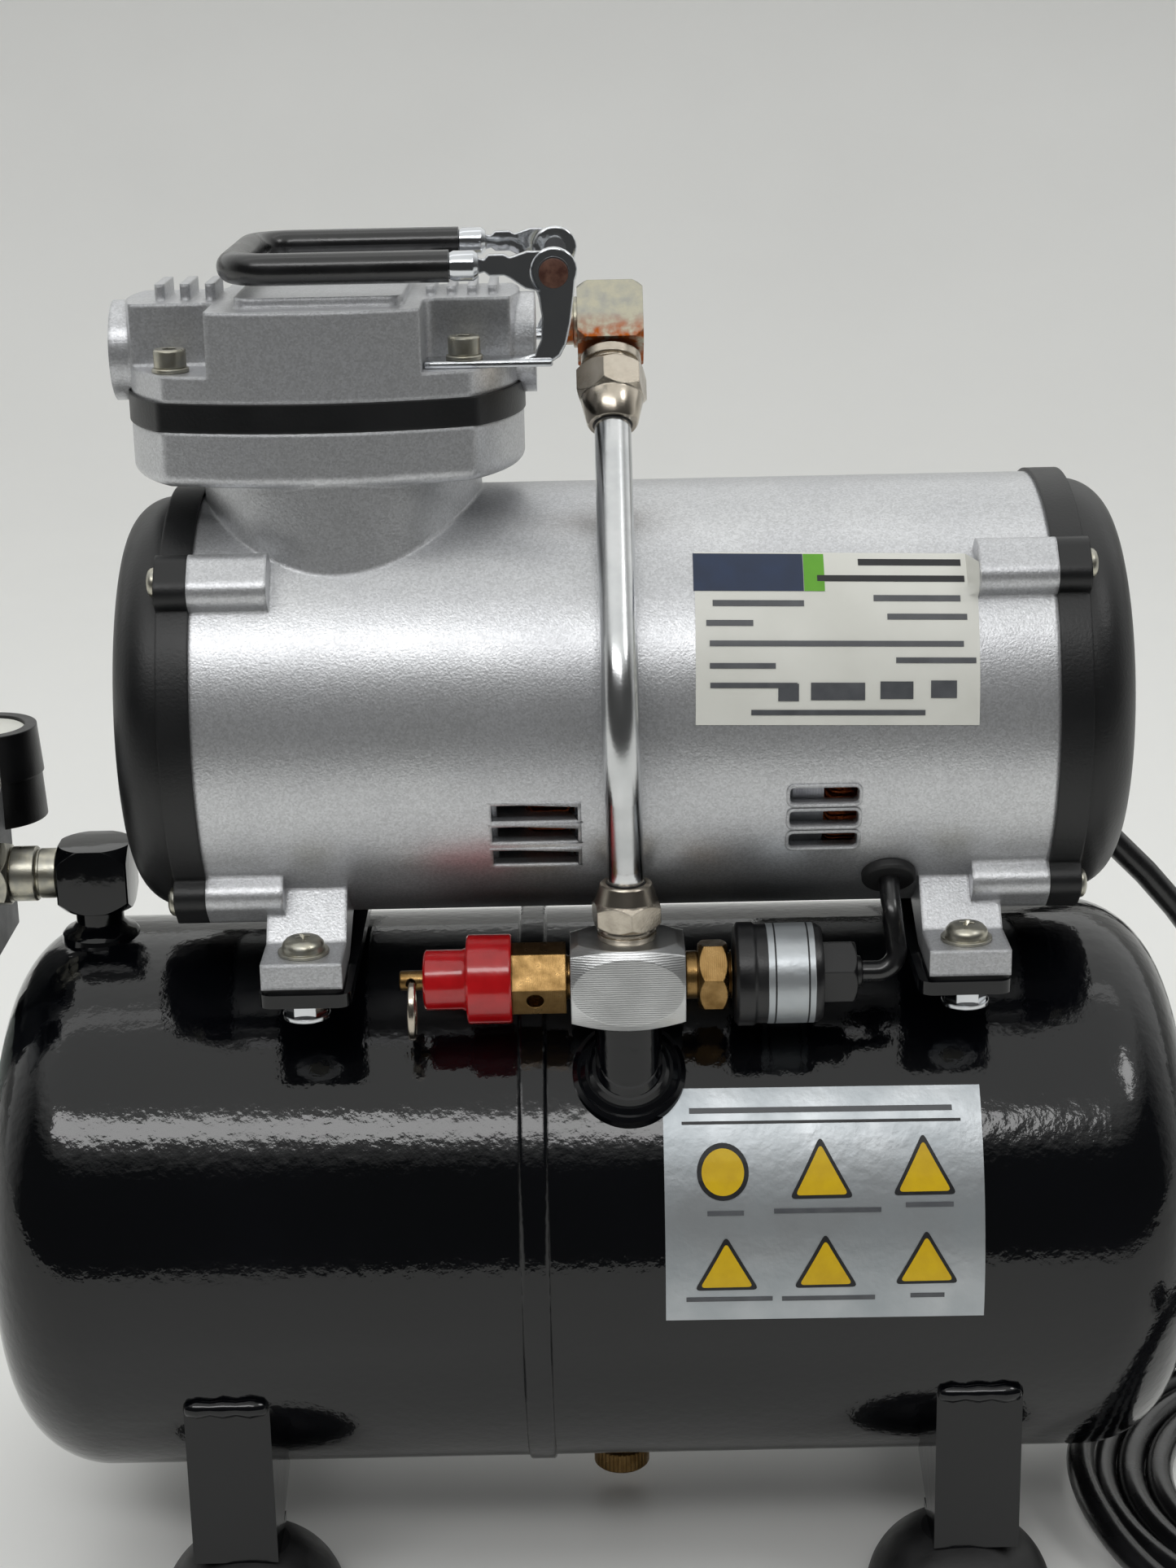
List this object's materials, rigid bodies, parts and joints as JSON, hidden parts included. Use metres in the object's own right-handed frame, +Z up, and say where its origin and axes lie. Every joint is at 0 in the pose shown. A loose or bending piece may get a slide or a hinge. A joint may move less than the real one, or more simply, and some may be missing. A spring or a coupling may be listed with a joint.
{
  "type": "airbrush compressor",
  "caption": "Small piston air compressor: motor and pump over a round air tank on rubber feet, with carry handle, outlet tube, relief valve, pressure switch and regulator.",
  "frame": {"origin": "centre of the feet's bounding box on the ground, under the middle of the length from hose thread to right tank end", "axes": "+X along the tank axis towards the motor's fan end, +Y towards the back (the gauge, relief valve and pressure switch are on the -Y side), +Z up"},
  "size_m": [0.451, 0.201, 0.31],
  "materials": {
    "tank_gloss_black": "gloss",
    "satin_black_paint": "satin",
    "cast_aluminium": "satin, slightly sparkling",
    "machined_aluminium": "turned",
    "zinc_plate": "yellowish zinc",
    "nickel_plate": "bright",
    "bright_chrome": "bright",
    "brass": "machined",
    "red_gloss": "gloss",
    "black_rubber": "satin",
    "black_vinyl": "satin",
    "black_plastic": "satin",
    "clear_bowl": "translucent",
    "steel": "plain",
    "copper": "enamelled wire",
    "needle_black": "matt",
    "grey_casting": "satin grey"
  },
  "bodies": {
    "base": {"tank_shell": "tank_gloss_black", "tank_legs": "tank_gloss_black", "suction_feet": "black_rubber", "drain_body": "brass", "saddle_plates": "tank_gloss_black", "isolation_pads": "black_rubber", "motor_housing": "cast_aluminium", "end_rims": "satin_black_paint", "end_cover_left": "satin_black_paint", "end_cover_right": "satin_black_paint", "cover_screws": "zinc_plate", "mount_screws": "zinc_plate", "mount_nuts": "bright_chrome", "stator_core": "steel", "stator_windings": "copper", "bearing_bracket": "cast_aluminium", "shaft_bearings": "steel", "cylinder_liner": "machined_aluminium", "valve_plate": "satin_black_paint", "cylinder_head": "cast_aluminium", "head_screws": "zinc_plate", "handle_brackets": "bright_chrome", "pivot_rivets": "steel", "head_elbow": "zinc_plate", "tube_nuts": "nickel_plate", "outlet_tube": "machined_aluminium", "tee_block": "machined_aluminium", "relief_body": "brass", "relief_cap": "red_gloss", "switch_fitting": "brass", "switch_body": "black_plastic", "switch_cable": "black_vinyl", "cable_grommet": "black_rubber", "tank_elbow": "tank_gloss_black", "inlet_nipple": "zinc_plate", "regulator_body": "grey_casting", "regulator_bowl": "clear_bowl", "gauge_case": "bright_chrome", "hose_outlet": "nickel_plate", "switch_box": "black_plastic", "cord_gland": "black_rubber", "power_cord": "black_vinyl", "cord_coil": "black_vinyl", "power_plug": "black_vinyl"},
    "drain_knob_body": {"drain_knob": "brass"},
    "rotor": {"motor_shaft": "steel", "rotor_core": "steel", "cooling_fan": "black_plastic", "crank_web": "steel"},
    "rod": {"connecting_rod": "machined_aluminium", "wrist_pin": "steel"},
    "piston_body": {"piston": "machined_aluminium"},
    "handle": {"handle_arms": "bright_chrome", "handle_grip": "black_vinyl"},
    "stem": {"relief_stem": "brass"},
    "pull_ring": {"relief_ring": "nickel_plate"},
    "knob": {"regulator_knob": "black_plastic"},
    "needle": {"gauge_needle": "needle_black"},
    "rocker_body": {"rocker": "black_plastic"},
    "drain_button": {"bowl_drain": "black_plastic"}
  },
  "joints": [
    {"name": "crank_spin", "type": "hinge", "parent": "base", "child": "rotor", "pos_m": [0, 0, 0.206], "axis": [1, 0, 0], "continuous": true},
    {"name": "rod_turn", "type": "hinge", "parent": "rotor", "child": "rod", "pos_m": [-0.031, 0, 0.2], "axis": [1, 0, 0], "continuous": true},
    {"name": "piston_slide", "type": "slide", "parent": "base", "child": "piston_body", "axis": [0, 0, 1], "range_m": [0, 0.012]},
    {"name": "handle_swing", "type": "hinge", "parent": "base", "child": "handle", "pos_m": [0.02, 0, 0.305], "axis": [0, 1, 0], "range_deg": [0, 100]},
    {"name": "relief_pull", "type": "slide", "parent": "base", "child": "stem", "axis": [-1, 0, 0], "range_m": [0, 0.003], "stiffness_N_per_m": 2000},
    {"name": "ring_swing", "type": "hinge", "parent": "stem", "child": "pull_ring", "pos_m": [-0.0147, -0.046, 0.1538], "axis": [0, 1, 0], "range_deg": [-8, 55]},
    {"name": "drain_turn", "type": "hinge", "parent": "base", "child": "drain_knob_body", "pos_m": [0.03, 0, 0.0083], "axis": [0, 0, 1], "range_deg": [0, 360]},
    {"name": "knob_turn", "type": "hinge", "parent": "base", "child": "knob", "pos_m": [-0.1185, 0.0208, 0.184], "axis": [0, 0, 1], "range_deg": [0, 270]},
    {"name": "needle_turn", "type": "hinge", "parent": "base", "child": "needle", "pos_m": [-0.134, -0.034, 0.172], "axis": [0, 1, 0], "range_deg": [0, 270]},
    {"name": "rocker_tilt", "type": "hinge", "parent": "base", "child": "rocker_body", "pos_m": [0.088, 0.0614, 0.192], "axis": [1, 0, 0], "range_deg": [-12, 0]},
    {"name": "drain_press", "type": "slide", "parent": "base", "child": "drain_button", "axis": [0, 0, 1], "range_m": [0, 0.002], "stiffness_N_per_m": 800}
  ],
  "couplings": [
    {"joint": "rod_turn", "follows": "crank_spin", "ratio": -1}
  ]
}
